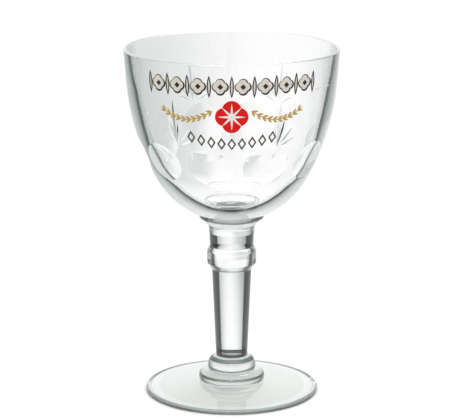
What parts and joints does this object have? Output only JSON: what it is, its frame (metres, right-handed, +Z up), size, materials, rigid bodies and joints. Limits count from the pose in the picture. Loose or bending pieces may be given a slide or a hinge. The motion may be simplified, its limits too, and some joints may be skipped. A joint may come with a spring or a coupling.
{
  "type": "chalice beer glass",
  "caption": "Stemmed chalice beer glass: wide cut bowl on a flared collar, with a ringed knop and a tapering stem over a stepped round foot, and fired enamel ornament on the front.",
  "frame": {"origin": "centre of the glass's axis on the plane it stands on", "axes": "+Z up along the glass's axis, -Y towards the viewer of the decorated front"},
  "size_m": [0.1072, 0.1072, 0.1766],
  "materials": {
    "glass": "gloss",
    "pale_enamel": "gloss",
    "dark_enamel": "gloss",
    "red_enamel": "gloss",
    "white_enamel": "gloss",
    "gold_enamel": "satin",
    "grey_enamel": "gloss"
  },
  "bodies": {
    "root": {"bowl": "glass", "collar": "glass", "upper_stem": "glass", "knop": "glass", "lower_stem": "glass", "upper_dome": "glass", "lower_dome": "glass", "foot": "glass", "frieze_ground": "pale_enamel", "frieze_line": "dark_enamel", "badge_ground": "red_enamel", "badge_motif": "white_enamel", "garland": "gold_enamel", "lower_row": "grey_enamel", "fill_line": "white_enamel"}
  },
  "joints": []
}
